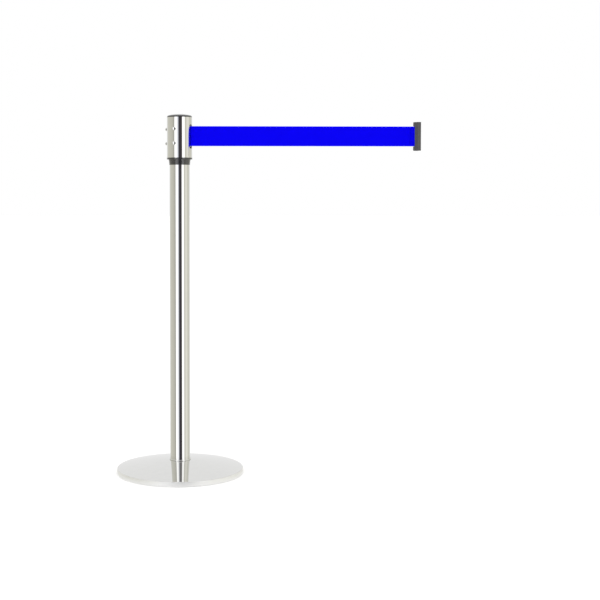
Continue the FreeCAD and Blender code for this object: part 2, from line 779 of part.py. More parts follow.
def make_shell():
    body = new_body("head_shell")
    sketch = new_sketch(body, "XY_Plane", size.head_low)
    circle(sketch, 0, 0, size.head_radius)
    circle(sketch, 0, 0, size.head_radius - size.head_wall)
    pad(body, sketch, size.head_top - size.head_low)
    half = size.slot_half_width
    corner = size.slot_round
    slot = new_sketch(body, "YZ_Plane")
    outline(
        slot,
        [
            (-(half - corner), size.slot_low),
            (half - corner, size.slot_low, corner),
            (half, size.slot_low + corner),
            (half, size.slot_high - corner, corner),
            (half - corner, size.slot_high),
            (-(half - corner), size.slot_high, corner),
            (-half, size.slot_high - corner),
            (-half, size.slot_low + corner, corner),
        ],
    )
    pocket(body, slot, forward=True)
    hole = size.stud_tail_radius + size.slip_gap
    for role, both in (("XZ_Plane", True), ("YZ_Plane", False)):
        holes = new_sketch(body, role)
        for height in (stud_low, stud_low + size.stud_spacing):
            circle(holes, 0, height, hole)
        pocket(body, holes, both=both)


def rounded_bar(name, x_low, x_high, half, low, high, corner):
    """A bar along X that is centred on Y and has its four long edges rounded."""
    inner = half - corner
    pieces = [
        block(f"{name}_wide", x_low, x_high, -half, half, low + corner, high - corner),
        block(f"{name}_tall", x_low, x_high, -inner, inner, low, high),
    ]
    for y in (-inner, inner):
        for z in (low + corner, high - corner):
            edge = rod(f"{name}_edge", corner, sized(x_high) - x_low)
            pieces.append(place(edge, x=x_low, y=y, z=z, turn=90, axis=Vector(0, 1, 0)))
    return combined("Part::MultiFuse", name, pieces)


def make_mouth():
    low = size.slot_low + size.bezel_gap
    high = size.slot_high - size.bezel_gap
    half = size.slot_half_width - size.bezel_gap
    far = size.head_radius + size.past
    front_rod = rod("bezel_front_rod", size.bezel_front, high - low, z=low)
    bar = rounded_bar("bezel_bar", size.bezel_back, far, half, low, high, size.slot_round)
    front = combined("Part::MultiCommon", "bezel_front_part", [front_rod, bar])
    flange_low = size.slot_low - size.bezel_flange_lap
    flange_high = size.slot_high + size.bezel_flange_lap
    wide = size.bezel_flange_half
    back_rod = rod("bezel_back_rod", size.bezel_flange_radius, flange_high - flange_low, z=flange_low)
    back_box = block("bezel_back_box", size.bezel_back, far, -wide, wide, flange_low, flange_high)
    back = combined("Part::MultiCommon", "bezel_back_part", [back_rod, back_box])
    solid = combined("Part::MultiFuse", "bezel_solid", [front, back])
    opening_low = belt_low - size.opening_margin
    opening_high = belt_high + size.opening_margin
    gap = size.opening_half
    near = size.bezel_back - size.past
    opening = block("bezel_opening", near, far, -gap, gap, opening_low, opening_high)
    pin_low = size.belt_middle - size.guide_length / 2
    hole_radius = size.guide_radius + size.fit_gap
    hole_low = pin_low - size.slip_gap
    hole_length = size.guide_length + size.slip_gap * 2
    holes = []
    pins = []
    for name, sign in (("near", -1), ("far", 1)):
        spot = {"x": size.mouth_x, "y": size.guide_offset * sign}
        holes.append(rod(f"{name}_guide_hole", hole_radius, hole_length, z=hole_low, **spot))
        pins.append(rod(f"{name}_guide", size.guide_radius, size.guide_length, z=pin_low, **spot))
    keep(cut("bezel", solid, opening, *holes), "mouth_bezel")
    keep(combined("Part::Compound", "guides", pins), "guide_pins")


def make_studs():
    """A pair of mushroom studs on each of the three sides without the mouth."""
    for side, angle in SIDES.items():
        body = new_body(f"stud_pair_{side}")
        body.AllowCompound = True
        sketch = new_sketch(body, "XY_Plane")
        outline(
            sketch,
            [
                (size.stud_tail_start, 0),
                (size.stud_tip, 0),
                (size.stud_tip, size.stud_tip_radius, size.stud_crown),
                (size.stud_head_end, size.stud_head_radius),
                (size.stud_head_start, size.stud_head_radius),
                (size.stud_head_start, size.stud_neck_radius),
                (size.head_radius, size.stud_neck_radius),
                (size.head_radius, size.stud_tail_radius),
                (size.stud_tail_start, size.stud_tail_radius),
            ],
        )
        stud = body.newObject("PartDesign::Revolution", f"{body.Name}_turn")
        stud.Profile = sketch
        stud.ReferenceAxis = (sketch, ["H_Axis"])
        stud.Angle = 360
        doc.recompute()
        pair = body.newObject("PartDesign::LinearPattern", f"{body.Name}_pair")
        pair.Originals = [stud]
        upward = next(found for found in body.Origin.OriginFeatures if found.Role == "Z_Axis")
        pair.Direction = (upward, [""])
        bind(pair, "Length", size.stud_spacing)
        pair.Occurrences = 2
        body.Tip = pair
        place(body, z=stud_low, turn=angle)


def make_cap():
    edge_in = size.cap_radius - size.cap_edge_in
    edge_up = size.head_top + size.cap_edge_up
    inside = size.seat_radius - size.cap_wall
    inner_top = size.head_top + size.cap_inner_rise
    turned(
        "top_cap",
        [
            (size.seat_radius, size.cap_skirt_low),
            (size.seat_radius, size.head_top),
            (size.cap_radius, size.head_top, size.cap_edge),
            (edge_in, edge_up, size.cap_crown),
            (0, size.cap_top),
            (0, size.cap_top - size.cap_wall, size.cap_wall - size.cap_crown),
            (inside - size.cap_inner_bevel, inner_top),
            (inside, inner_top - size.cap_inner_bevel),
            (inside, size.cap_skirt_low),
        ],
    )


# Belt


def belt_piece(label, corners, **spot):
    """Webbing on edge: an outline seen from above, as high as the belt is wide."""
    body = new_body(label)
    sketch = new_sketch(body, "XY_Plane", belt_low)
    outline(sketch, corners)
    pad(body, sketch, size.belt_width)
    place(body, **spot)
    return sketch


def strip_outline(start, end, half_thickness):
    return [
        (start, -half_thickness),
        (end, -half_thickness),
        (end, half_thickness),
        (start, half_thickness),
    ]


def pin_spot():
    """The clip's pin, from the mouth's turning line along the belt."""
    turn = math.radians(size.belt_angle.value)
    reach = size.pin_reach
    x = Size(
        size.mouth_x.value + reach.value * math.cos(turn),
        f"({size.mouth_x.formula} + {reach.formula} * cos({size.belt_angle.formula} * 1 deg))",
    )
    y = Size(reach.value * math.sin(turn), f"({reach.formula} * sin({size.belt_angle.formula} * 1 deg))")
    return {"x": x, "y": y}


def make_belt():
    # the belt leaves the wound part along a tangent and runs to the mouth's turning line
    tangent_radius = size.wound_radius + size.feed_gap + half_belt
    lean = math.asin(tangent_radius.value / size.mouth_x.value)
    lean_formula = f"(180 deg + asin({tangent_radius.formula} / {size.mouth_x.formula}))"
    lean_size = Size(180 + math.degrees(lean), lean_formula)
    run = Size(
        size.mouth_x.value * math.cos(lean),
        f"sqrt({size.mouth_x.formula} ^ 2 - {tangent_radius.formula} ^ 2)",
    )
    feed = strip_outline(size.slip_gap, run, half_belt)
    belt_piece("belt_feed", feed, x=size.mouth_x, turn=lean_size)

    single_end = size.pin_reach - size.seam_length - size.seam_gap
    single = strip_outline(size.mouth_clear, single_end, half_belt)
    belt_piece("belt_webbing", single, x=size.mouth_x, turn=size.belt_angle)

    outer = size.loop_inner + size.belt_thickness
    double = size.belt_thickness
    tail = [
        (-size.seam_length, -double),
        (-size.loop_root, -double, outer),
        (outer, 0, outer),
        (-size.loop_root, double),
        (-size.seam_length, double),
    ]
    loop_sketch = belt_piece("belt_loop", tail, turn=size.belt_angle, **pin_spot())
    circle(loop_sketch, 0, 0, size.loop_inner)


# Clip


def make_clip():
    spot = {"turn": size.clip_angle, **pin_spot()}
    wide = size.clip_half_width
    ear = size.ear_radius

    body = new_body("clip_body")
    sketch = new_sketch(body, "XY_Plane", clip_low)
    outline(
        sketch,
        [
            (size.clip_face, -wide),
            (size.clip_face, wide),
            (size.shoulder_depth, wide),
            (0, ear, ear),
            (0, -ear),
            (size.shoulder_depth, -wide),
        ],
    )
    pad(body, sketch, size.clip_height)
    gap = new_sketch(body, "XY_Plane", size.belt_middle - size.ear_gap / 2)
    beside = wide + size.past
    inner = size.pin_room_half
    outline(
        gap,
        [
            (-(ear + size.past), -beside),
            (-size.cheek_reach, -beside),
            (-size.cheek_reach, -inner),
            (size.rear_wall_start, -inner),
            (size.rear_wall_start, inner),
            (-size.cheek_reach, inner),
            (-size.cheek_reach, beside),
            (-(ear + size.past), beside),
        ],
    )
    pocket(body, gap, length=size.ear_gap, forward=True)
    corners = new_sketch(body, "XZ_Plane")
    clip_high = clip_low + size.clip_height
    outside = ear + size.past
    for end, way in ((clip_high, 1), (clip_low, -1)):
        outline(
            corners,
            [
                (-outside, end + size.past * way),
                (-outside, end - size.ear_corner * way),
                (-ear, end - size.ear_corner * way, -size.ear_corner * way),
                (size.ear_corner - ear, end),
                (size.ear_corner - ear, end + size.past * way),
            ],
        )
    pocket(body, corners, both=True)
    cavity = new_sketch(body, "XY_Plane", size.belt_middle - size.cavity_height / 2)
    half = size.cavity_half_width
    rectangle(cavity, size.rear_wall_end, -half, size.clip_face + size.past, half)
    pocket(body, cavity, length=size.cavity_height, forward=True)
    eye = new_sketch(body, "XY_Plane")
    circle(eye, 0, 0, size.pin_radius + size.fit_gap)
    pocket(body, eye, forward=True)
    screw_heights = [
        size.belt_middle - size.hook_screw_height,
        size.belt_middle + size.hook_screw_height,
    ]
    taps = new_sketch(body, "YZ_Plane", size.hook_screw_start - size.fit_gap)
    for height in screw_heights:
        circle(taps, 0, height, size.hook_screw_radius + size.fit_gap)
    pocket(body, taps, forward=True)
    place(body, **spot)

    plate = new_body("clip_hook_plate")
    sketch = new_sketch(plate, "XY_Plane", clip_low)
    outline(
        sketch,
        [
            (size.clip_face, -wide),
            (size.hook_edge, -wide, -size.hook_radius),
            (size.hook_edge, wide),
            (size.clip_face, wide),
        ],
    )
    pad(plate, sketch, size.clip_height)
    rounds = new_sketch(plate, "YZ_Plane")
    slots = new_sketch(plate, "YZ_Plane")
    slot = size.keyhole_slot
    for stud_height in (stud_low, stud_low + size.stud_spacing):
        round_height = stud_height - size.keyhole_drop
        circle(rounds, 0, round_height, size.keyhole_radius)
        outline(
            slots,
            [
                (-slot, round_height),
                (slot, round_height),
                (slot, stud_height, slot),
                (-slot, stud_height),
            ],
        )
    pocket(plate, rounds, forward=True)
    pocket(plate, slots, forward=True)
    shanks = new_sketch(plate, "YZ_Plane")
    seats = new_sketch(plate, "YZ_Plane", size.hook_screw_seat)
    for height in screw_heights:
        circle(shanks, 0, height, size.hook_screw_radius + size.fit_gap)
        circle(seats, 0, height, size.hook_screw_head + size.fit_gap)
    pocket(plate, shanks, forward=True)
    pocket(plate, seats, forward=True)
    place(plate, **spot)

    pin_low = size.belt_middle - size.pin_length / 2
    keep(rod("pin", size.pin_radius, size.pin_length, z=pin_low, **pin_spot()), "clip_pin")
    make_hook_screws(screw_heights, spot)


def make_hook_screws(heights, spot):
    body = new_body("clip_plate_screws")
    body.AllowCompound = True
    sketch = new_sketch(body, "XY_Plane")
    outline(
        sketch,
        [
            (size.hook_screw_start, 0),
            (size.hook_screw_end, 0),
            (size.hook_screw_end, size.hook_screw_head),
            (size.hook_screw_seat, size.hook_screw_head),
            (size.hook_screw_seat, size.hook_screw_radius),
            (size.hook_screw_start, size.hook_screw_radius),
        ],
    )
    screw = body.newObject("PartDesign::Revolution", f"{body.Name}_turn")
    screw.Profile = sketch
    screw.ReferenceAxis = (sketch, ["H_Axis"])
    screw.Angle = 360
    doc.recompute()
    pair = body.newObject("PartDesign::LinearPattern", f"{body.Name}_pair")
    pair.Originals = [screw]
    upward = next(found for found in body.Origin.OriginFeatures if found.Role == "Z_Axis")
    pair.Direction = (upward, [""])
    bind(pair, "Length", heights[1] - heights[0])
    pair.Occurrences = 2
    body.Tip = pair
    place(body, z=heights[0], **spot)


def write_parts():
    """Checks every object and every sub-part, then writes one STEP file for each sub-part."""
    doc.recompute()
    for thing in doc.Objects:
        if {"Invalid", "Error"} & set(thing.State):
            raise RuntimeError(f"{thing.Label} failed: {thing.State}")
    for part in sub_parts:
        shape = part.Shape
        if shape.isNull() or not shape.isValid() or not shape.Solids:
            raise RuntimeError(f"{part.Label} has no valid solid")
    os.makedirs("parts", exist_ok=True)
    for part in sub_parts:
        part.Shape.exportStep(f"parts/{part.Label}.step")
        print(f"{part.Label}: {len(part.Shape.Solids)} solid(s), {part.Shape.Volume:.1f} mm3")


make_base()
make_base_bolt()
make_post()
make_spindle()
make_cassette()
make_reel()
make_shell()
make_mouth()
make_studs()
make_cap()
make_belt()
make_clip()
write_parts()
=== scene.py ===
import json
import math

import bpy
import numpy as np
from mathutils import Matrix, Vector


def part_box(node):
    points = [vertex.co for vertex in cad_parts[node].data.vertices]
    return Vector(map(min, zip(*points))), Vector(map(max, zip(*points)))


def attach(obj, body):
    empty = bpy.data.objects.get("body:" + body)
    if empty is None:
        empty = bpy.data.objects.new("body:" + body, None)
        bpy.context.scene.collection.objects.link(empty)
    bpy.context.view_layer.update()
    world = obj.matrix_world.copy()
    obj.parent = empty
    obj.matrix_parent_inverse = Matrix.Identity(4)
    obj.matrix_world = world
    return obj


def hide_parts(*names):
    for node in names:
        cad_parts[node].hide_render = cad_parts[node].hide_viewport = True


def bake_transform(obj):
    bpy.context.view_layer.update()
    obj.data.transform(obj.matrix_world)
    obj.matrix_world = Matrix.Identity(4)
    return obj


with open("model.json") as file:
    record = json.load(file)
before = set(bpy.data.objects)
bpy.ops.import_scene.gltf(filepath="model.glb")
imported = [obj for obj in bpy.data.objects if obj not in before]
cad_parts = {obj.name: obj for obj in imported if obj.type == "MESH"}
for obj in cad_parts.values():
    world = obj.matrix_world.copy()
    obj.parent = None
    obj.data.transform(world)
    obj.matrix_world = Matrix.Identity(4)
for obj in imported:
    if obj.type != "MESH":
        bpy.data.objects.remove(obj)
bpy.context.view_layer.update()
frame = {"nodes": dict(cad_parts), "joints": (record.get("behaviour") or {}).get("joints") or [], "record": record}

# Retractable belt stanchion: looks, floor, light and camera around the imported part.
# Lengths are in metres. The belt leaves the mouth at BELT_TURN from +X, and the camera looks nearly
# square on to it.

NODES = frame["nodes"]
BELT_TURN = math.radians(26)
ALONG = Vector((math.cos(BELT_TURN), math.sin(BELT_TURN), 0))
ACROSS = Vector((-math.sin(BELT_TURN), math.cos(BELT_TURN), 0))
UP = Vector((0, 0, 1))

loop_joint = next(j for j in frame["joints"] if j["name"] == "clip_swivel")
swing_joint = next(j for j in frame["joints"] if j["name"] == "belt_swing")
PIN = Vector(loop_joint["pos_m"])
MOUTH = Vector(swing_joint["pos_m"])
BELT_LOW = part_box("wound_belt")[0].z
BELT_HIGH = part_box("wound_belt")[1].z
BELT_THICK = 0.0008
SEAM = 0.011  # from the clip's pin to the end of the sewn-back layer
JOIN = SEAM + 0.0003  # from the pin to where the drawn belt ends and the sewn end starts
PIN_GAP_RADIUS = 0.00135  # inside of the loop round the pin
LAYER_GAP = 0.00002  # half of the gap between the two sewn layers
HUB_RADIUS = 0.01215
WOUND_RADIUS = 0.0226
WOUND_THICK = 0.00072  # the webbing is squeezed a little thinner on the reel
WOUND_TURNS = 13
FEED_GAP = 0.00035  # between the wound belt and the run that leaves it


# Shader helpers


def new_material(name):
    material = bpy.data.materials.new(name)
    material.use_nodes = True
    tree = material.node_tree
    return material, tree, tree.nodes["Principled BSDF"]


def add(tree, kind, settings=None, **inputs):
    """A node with its settings, and its inputs set or linked by name."""
    node = tree.nodes.new(kind)
    for key, value in (settings or {}).items():
        setattr(node, key, value)
    for key, value in inputs.items():
        socket = node.inputs[int(key[1:])] if key[0] == "i" and key[1:].isdigit() else node.inputs[key]
        if isinstance(value, bpy.types.NodeSocket):
            tree.links.new(value, socket)
        else:
            socket.default_value = value
    return node


def math_node(tree, operation, *values):
    inputs = {f"i{number}": value for number, value in enumerate(values)}
    return add(tree, "ShaderNodeMath", {"operation": operation}, **inputs).outputs[0]


def noise(tree, vector, detail=3.0, roughness=0.5):
    keys = {"Vector": vector, "Scale": 1.0, "Detail": detail, "Roughness": roughness}
    return add(tree, "ShaderNodeTexNoise", None, **keys).outputs["Fac"]


def spread(tree, value, low, high, start=0.0, end=1.0):
    """Maps value from start..end to low..high."""
    keys = {"Value": value, "From Min": start, "From Max": end, "To Min": low, "To Max": high}
    return add(tree, "ShaderNodeMapRange", None, **keys).outputs[0]


def stretched_space(tree, scale):
    """The object's own coordinates in metres, stretched by scale."""
    space = add(tree, "ShaderNodeTexCoord").outputs["Object"]
    return add(tree, "ShaderNodeMapping", None, Vector=space, Scale=scale).outputs[0]


def two_colours(tree, share, dark, light):
    ramp = add(tree, "ShaderNodeValToRGB", None, Fac=share)
    ramp.color_ramp.elements[0].color = (*dark, 1)
    ramp.color_ramp.elements[1].color = (*light, 1)
    return ramp.outputs[0]


def bump(tree, height, distance):
    return add(tree, "ShaderNodeBump", None, Height=height, Distance=distance, Strength=1.0).outputs[0]


def stretched_uv(tree, uv, along, across):
    return add(tree, "ShaderNodeMapping", None, Vector=uv, Scale=(along, across, 1)).outputs[0]


# Materials


def metal(name, dark, light, rough_low, rough_high, grain=(900, 900, 60)):
    """Bare metal: clouded tint, polish marks along one way, and roughness that follows both."""
    material, tree, shader = new_material(name)
    shader.inputs["Metallic"].default_value = 1
    marks = noise(tree, stretched_space(tree, grain), 4.0, 0.6)
    clouds = noise(tree, stretched_space(tree, (60, 60, 60)))
    both = math_node(tree, "MULTIPLY", marks, clouds)
    tree.links.new(two_colours(tree, clouds, dark, light), shader.inputs["Base Color"])
    tree.links.new(spread(tree, both, rough_low, rough_high, 0.1, 0.45), shader.inputs["Roughness"])
    tree.links.new(bump(tree, marks, 8e-7), shader.inputs["Normal"])
    return material


def satin_sides(material, rough, tint, start, end):
    """Turns the upright faces of a metal piece satin: rougher and paler where the normal is level."""
    tree = material.node_tree
    shader = tree.nodes["Principled BSDF"]
    polished = shader.inputs["Roughness"].links[0].from_socket
    plain = shader.inputs["Base Color"].links[0].from_socket
    normal = add(tree, "ShaderNodeTexCoord").outputs["Normal"]
    lift = add(tree, "ShaderNodeSeparateXYZ", None, Vector=normal).outputs[2]
    side = spread(tree, lift, 1.0, 0.0, start, end)
    satin = math_node(tree, "MAXIMUM", polished, math_node(tree, "MULTIPLY", side, rough))
    tree.links.new(satin, shader.inputs["Roughness"])
    paler = add(tree, "ShaderNodeMix", {"data_type": "RGBA"}, i0=side, i6=plain, i7=(*tint, 1))
    tree.links.new(paler.outputs[2], shader.inputs["Base Color"])
    return material


def plastic(name, dark, light, rough_low, rough_high, grain, relief, coat=0.0, gloss=0.5):
    """Moulded plastic: fine skin grain, a slightly uneven colour, and an optional glossy coat."""
    material, tree, shader = new_material(name)
    skin = noise(tree, stretched_space(tree, (grain, grain, grain)), 3.0, 0.6)
    clouds = noise(tree, stretched_space(tree, (90, 90, 90)))
    tree.links.new(two_colours(tree, clouds, dark, light), shader.inputs["Base Color"])
    tree.links.new(spread(tree, skin, rough_low, rough_high, 0.25, 0.75), shader.inputs["Roughness"])
    tree.links.new(bump(tree, skin, relief), shader.inputs["Normal"])
    shader.inputs["Coat Weight"].default_value = coat
    shader.inputs["Coat Roughness"].default_value = 0.08
    shader.inputs["Specular IOR Level"].default_value = gloss
    return material


def webbing(name):
    """Woven belt: ribs along its length crossed by picks, in metres of the belt's own UV map."""
    material, tree, shader = new_material(name)
    uv = add(tree, "ShaderNodeUVMap", {"uv_map": "belt"}).outputs[0]
    parts = add(tree, "ShaderNodeSeparateXYZ", None, Vector=uv)
    length, width = parts.outputs[0], parts.outputs[1]
    rib_pitch = 0.00125
    pick_pitch = 0.0009
    rib_phase = math_node(tree, "MULTIPLY", width, 2 * math.pi / rib_pitch)
    rib_row = math_node(tree, "FLOOR", math_node(tree, "DIVIDE", width, rib_pitch))
    half_turn = math_node(tree, "MULTIPLY", rib_row, math.pi)
    pick_phase = math_node(tree, "MULTIPLY", length, 2 * math.pi / pick_pitch)
    picks = math_node(tree, "SINE", math_node(tree, "ADD", pick_phase, half_turn))
    ribs = math_node(tree, "COSINE", rib_phase)
    valleys = math_node(tree, "SUBTRACT", 1.6, ribs)
    weave = math_node(tree, "MULTIPLY", valleys, math_node(tree, "ADD", picks, 2.0))
    threads = noise(tree, stretched_uv(tree, uv, 300, 1600))
    patches = noise(tree, stretched_uv(tree, uv, 14, 40), 2.0)
    tone = math_node(tree, "MULTIPLY", weave, 0.08)
    tone = math_node(tree, "ADD", tone, math_node(tree, "MULTIPLY", threads, 0.3))
    tone = math_node(tree, "ADD", tone, math_node(tree, "MULTIPLY", patches, 0.25))
    colour = two_colours(tree, tone, (0.0016, 0.0003, 0.80), (0.0030, 0.0006, 1.0))
    tree.links.new(colour, shader.inputs["Base Color"])
    tree.links.new(spread(tree, threads, 0.62, 0.82, 0.3, 0.7), shader.inputs["Roughness"])
    tree.links.new(bump(tree, weave, 0.00005), shader.inputs["Normal"])
    shader.inputs["Specular IOR Level"].default_value = 0.02
    shader.inputs["Sheen Weight"].default_value = 0.02
    shader.inputs["Sheen Tint"].default_value = (0.05, 0.0, 1.0, 1)
    return material


POLISH = ((0.81, 0.81, 0.80), (0.85, 0.85, 0.84), 0.012, 0.035)

# metal: dark and light tint, lowest and highest roughness, and the scale of the polish marks
METALS = {
    "polished_steel": POLISH,
    "stud_steel": ((0.76, 0.76, 0.75), (0.86, 0.86, 0.85), 0.08, 0.18, (300, 300, 300)),
    "zinc_steel": ((0.52, 0.53, 0.55), (0.68, 0.69, 0.70), 0.25, 0.45, (400, 400, 400)),
    "spring_steel": ((0.20, 0.22, 0.27), (0.34, 0.36, 0.40), 0.25, 0.4, (200, 200, 900)),
    "bush_brass": ((0.68, 0.50, 0.22), (0.80, 0.63, 0.33), 0.2, 0.35, (300, 300, 900)),
}

# plastic: dark and light colour, lowest and highest roughness, scale and depth of the grain, and
# for some the coat and the gloss
PLASTICS = {
    "cast_weight": ((0.05, 0.05, 0.05), (0.10, 0.10, 0.10), 0.6, 0.85, 500, 3e-4),
    "floor_rubber": ((0.018, 0.018, 0.018), (0.035, 0.035, 0.035), 0.65, 0.85, 2500, 3e-5),
    "black_gloss": ((0.010, 0.010, 0.012), (0.018, 0.018, 0.020), 0.18, 0.28, 1500, 1e-6, 1.0, 0.7),
    "black_matte": ((0.012, 0.012, 0.012), (0.022, 0.022, 0.022), 0.45, 0.6, 3000, 1e-5),
    "grey_plastic": ((0.060, 0.058, 0.058), (0.085, 0.082, 0.082), 0.42, 0.55, 2600, 1.5e-5),
    "reel_plastic": ((0.50, 0.50, 0.46), (0.60, 0.60, 0.56), 0.4, 0.55, 1800, 8e-6),
    "bush_plastic": ((0.78, 0.77, 0.70), (0.86, 0.85, 0.79), 0.35, 0.5, 1800, 5e-6),
}
SEAM_THREAD = ((0.001, 0.001, 0.40), (0.003, 0.003, 0.60), 0.6, 0.8, 6000, 5e-6, 0.0, 0.08)

LOOKS = {name: metal(name, *values) for name, values in METALS.items()}
LOOKS.update({name: plastic(name, *values) for name, values in PLASTICS.items()})
LOOKS["blue_webbing"] = webbing("blue_webbing")
COVER_LOOK = satin_sides(metal("cover_steel", *POLISH), 0.55, (0.96, 0.96, 0.95), 0.45, 0.85)
THREAD_LOOK = plastic("seam_thread", *SEAM_THREAD)

for part in frame["record"]["subparts"]:
    mesh = NODES[part["node"]].data
    mesh.materials.clear()
    mesh.materials.append(LOOKS[part["material_slot"]])
NODES["base_cover"].data.materials[0] = COVER_LOOK


# Moulded edges


SHARP_EDGE = math.radians(40)


def round_edges(node, width, segments):
    """Rounds the sharp edges of a moulded CAD part, with modifiers that leave its mesh as it is."""
    thing = NODES[node]
    weld = thing.modifiers.new("weld", "WELD")
    weld.merge_threshold = 1e-6
    rounding = thing.modifiers.new("rounding", "BEVEL")
    rounding.width = width
    rounding.segments = segments
    rounding.limit_method = "ANGLE"
    rounding.angle_limit = SHARP_EDGE
    rounding.harden_normals = False
    rounding.use_clamp_overlap = True


round_edges("clip_body", 0.0009, 3)
round_edges("clip_hook_plate", 0.0004, 2)


# Belt


def link_mesh(name, points, faces, material, uvs=None):
    mesh = bpy.data.meshes.new(name)
    mesh.from_pydata([tuple(point) for point in points], [], faces)
    if uvs is not None:
        layer = mesh.uv_layers.new(name="belt")
        for face, corners in zip(mesh.polygons, uvs):
            for loop, corner in zip(face.loop_indices, corners):
                layer.data[loop].uv = corner
    mesh.materials.append(material)
    mesh.shade_smooth()
    thing = bpy.data.objects.new(name, mesh)
    bpy.context.scene.collection.objects.link(thing)
    return thing


def belt_section(low, high, half, rows):
    """Outline of the belt's cross-section as (sideways, height) points."""
    points = []
    for side in (1, -1):
        face = np.linspace(low + half, high - half, rows)
        if side < 0:
            face = face[::-1]
        points += [(side * half, z) for z in face]
        edge = high - half if side > 0 else low + half
        for angle in (45, 90, 135):
            turn = math.radians(angle)
            points.append((side * half * math.cos(turn), edge + side * half * math.sin(turn)))
    return points


def ribbon(name, path, half=BELT_THICK / 2, rows=14, start=0.0):
    """Webbing swept on edge along a level path of (x, y) points, with rounded selvedges."""
    path = np.array(path, float)
    steps = np.gradient(path, axis=0)
    steps /= np.linalg.norm(steps, axis=1)[:, None]
    side = np.stack([-steps[:, 1], steps[:, 0]], 1)
    runs = np.concatenate([[0], np.cumsum(np.linalg.norm(np.diff(path, axis=0), axis=1))]) + start
    section = belt_section(BELT_LOW, BELT_HIGH, half, rows)
    count = len(section)
    points = []
    for spot, out in zip(path, side):
        points += [(*(spot + out * offset), z) for offset, z in section]
    faces = []
    uvs = []
    for i in range(len(path) - 1):
        for j in range(count):
            k = (j + 1) % count
            faces.append((i * count + j, (i + 1) * count + j, (i + 1) * count + k, i * count + k))
            low, high = section[j][1], section[k][1]
            uvs.append([(runs[i], low), (runs[i + 1], low), (runs[i + 1], high), (runs[i], high)])
    last = (len(path) - 1) * count
    faces.append(tuple(range(count)))
    uvs.append([(runs[0], point[1]) for point in section])
    faces.append(tuple(last + j for j in reversed(range(count))))
    uvs.append([(runs[-1], point[1]) for point in reversed(section)])
    made = link_mesh(name, points, faces, LOOKS["blue_webbing"], uvs)
    return made


def straight(start, end, pieces):
    start = np.array(start[:2])
    end = np.array(end[:2])
    return [start + (end - start) * i / pieces for i in range(pieces + 1)]


def spiral(inner, outer, turns, pieces):
    points = []
    for i in range(pieces + 1):
        share = i / pieces
        radius = inner + (outer - inner) * share
        angle = turns * 2 * math.pi * share
        points.append((radius * math.cos(angle), radius * math.sin(angle)))
    return points


# the drawn-out belt, which pays out between the mouth and the sewn end
run_start = MOUTH + ALONG * 0.0005
run_end = PIN - ALONG * JOIN
drawn_belt = ribbon("drawn_belt", straight(run_start, run_end, 186))
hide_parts("belt_webbing")
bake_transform(drawn_belt)

# the sewn end: out to the pin, round it, and back
LOOP_START = 0.0034
LOOP_STEPS = 28
loop_radius = PIN_GAP_RADIUS + BELT_THICK / 2
layer = BELT_THICK / 2 + LAYER_GAP
bend_from = math.asin(layer / loop_radius) + math.radians(40)
end_path = [(-JOIN, 0), (-SEAM + 0.0004, -layer * 0.3), (-SEAM + 0.0014, -layer * 0.85)]
end_path += [(-SEAM + 0.0024, -layer), (-SEAM * 0.5, -layer), (-LOOP_START, -layer)]
for i in range(LOOP_STEPS + 1):
    angle = math.pi + bend_from + (2 * math.pi - 2 * bend_from) * i / LOOP_STEPS
    end_path.append((loop_radius * math.cos(angle), loop_radius * math.sin(angle)))
end_path += [(-LOOP_START, layer), (-SEAM * 0.5, layer), (-SEAM * 0.75, layer), (-SEAM, layer)]
world_path = [(PIN + ALONG * x + ACROSS * y)[:2] for x, y in end_path]
sewn_end = ribbon("sewn_belt_end", world_path, start=0.6)
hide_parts("belt_loop")
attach(sewn_end, "belt_end")

# from the wound belt to the mouth, and the wound belt itself
feed_radius = WOUND_RADIUS + FEED_GAP + BELT_THICK / 2
lean = math.asin(feed_radius / MOUTH.x)
feed_way = Vector((-math.cos(lean), -math.sin(lean), 0))
feed_length = MOUTH.x * math.cos(lean)
feed_start = MOUTH + feed_way * 0.00015
feed_end = MOUTH + feed_way * feed_length
feed_belt = ribbon("feed_belt", straight(feed_start, feed_end, 12))
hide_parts("belt_feed")
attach(feed_belt, "post")

coil_inner = HUB_RADIUS + BELT_THICK / 2
coil_outer = WOUND_RADIUS - BELT_THICK / 2
wound_path = spiral(coil_inner, coil_outer, WOUND_TURNS, WOUND_TURNS * 72)
wound = ribbon("wound_belt_coil", wound_path, half=WOUND_THICK / 2, rows=4)
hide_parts("wound_belt")
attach(wound, "spool")


# Stitches of the sewn end: a box with a bar across its middle and a cross in each half, on both faces


def stitch_rows():
    """The seam's lines, as pairs of (place along the belt from the pin, height) points."""
    inset = 0.003
    near, far = -SEAM + 0.0016, -0.0042
    low, high = BELT_LOW + inset, BELT_HIGH - inset
    middle = (low + high) / 2
    rows = [((near, low), (near, high)), ((far, low), (far, high))]
    rows += [((near, low), (far, low)), ((near, high), (far, high)), ((near, middle), (far, middle))]
    rows += [((near, low), (far, middle)), ((far, low), (near, middle))]
    rows += [((near, middle), (far, high)), ((far, middle), (near, high))]
    return rows


def stitching(name):
    pitch = 0.0026
    gap = 0.0004
    points = []
    faces = []
    for side in (1, -1):
        for start, end in stitch_rows():
            start, end = np.array(start), np.array(end)
            length = np.linalg.norm(end - start)
            way = (end - start) / length
            count = max(1, round(length / pitch))
            step = length / count
            for number in range(count):
                add_stitch(points, faces, start + way * (number * step + gap / 2), way, step - gap, side)
    made = link_mesh(name, points, faces, THREAD_LOOK)
    return made


